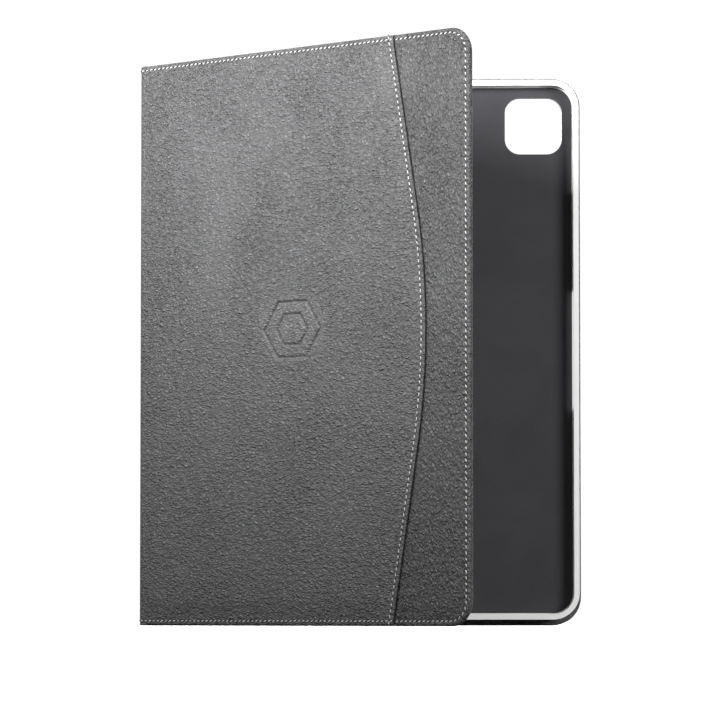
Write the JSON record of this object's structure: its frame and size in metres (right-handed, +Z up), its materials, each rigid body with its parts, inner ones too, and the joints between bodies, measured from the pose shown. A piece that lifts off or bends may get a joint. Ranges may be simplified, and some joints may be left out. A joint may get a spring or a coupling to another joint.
{
  "type": "tablet folio case",
  "caption": "Leather book-style tablet case that stands upright: padded cover, folding spine, and a back panel with a bumper tray for a large tablet.",
  "frame": {"origin": "middle of the standing case's bounding box in x and y, on the surface that it stands on", "axes": "+Z up along the folds, +X from the spine to the tray's free edge, -Y out of the tray's mouth towards the viewer"},
  "size_m": [0.2314, 0.1748, 0.2937],
  "materials": {
    "leather": "satin",
    "strip_leather": "satin",
    "fold_leather": "satin",
    "foam": "matte",
    "fibreboard": "matte",
    "lining": "matte",
    "magnet": "satin",
    "thread": "matte",
    "adhesive": "matte",
    "shell": "matte",
    "bumper": "gloss",
    "bay_liner": "matte",
    "ring": "gloss"
  },
  "bodies": {
    "tray": {"back_leather": "leather", "back_board": "fibreboard", "gutter_lining": "lining", "back_stitching": "thread", "bond_pads": "adhesive", "shell_plate": "shell", "bumper_frame": "bumper", "shell_liner": "bay_liner", "camera_ring": "ring"},
    "spine": {"spine_leather": "leather", "spine_board": "fibreboard", "spine_lining": "lining", "spine_stitching": "thread", "rear_fold": "fold_leather", "front_fold": "fold_leather"},
    "cover": {"cover_leather": "leather", "cover_edge_strip": "strip_leather", "cover_foam": "foam", "cover_board": "fibreboard", "cover_lining": "lining", "closing_magnets": "magnet", "wake_magnet": "magnet", "document_pocket": "leather", "cover_edge_stitching": "thread", "cover_seam_stitching": "thread", "pocket_stitching": "thread"}
  },
  "joints": [
    {"name": "spine_fold", "type": "hinge", "parent": "tray", "child": "spine", "pos_m": [-0.11488, 0.08681, 0], "axis": [0, 0, -1], "range_deg": [0, 180]},
    {"name": "cover_fold", "type": "hinge", "parent": "spine", "child": "cover", "pos_m": [-0.11488, 0.07071, 0], "axis": [0, 0, -1], "range_deg": [-43, 137]}
  ]
}
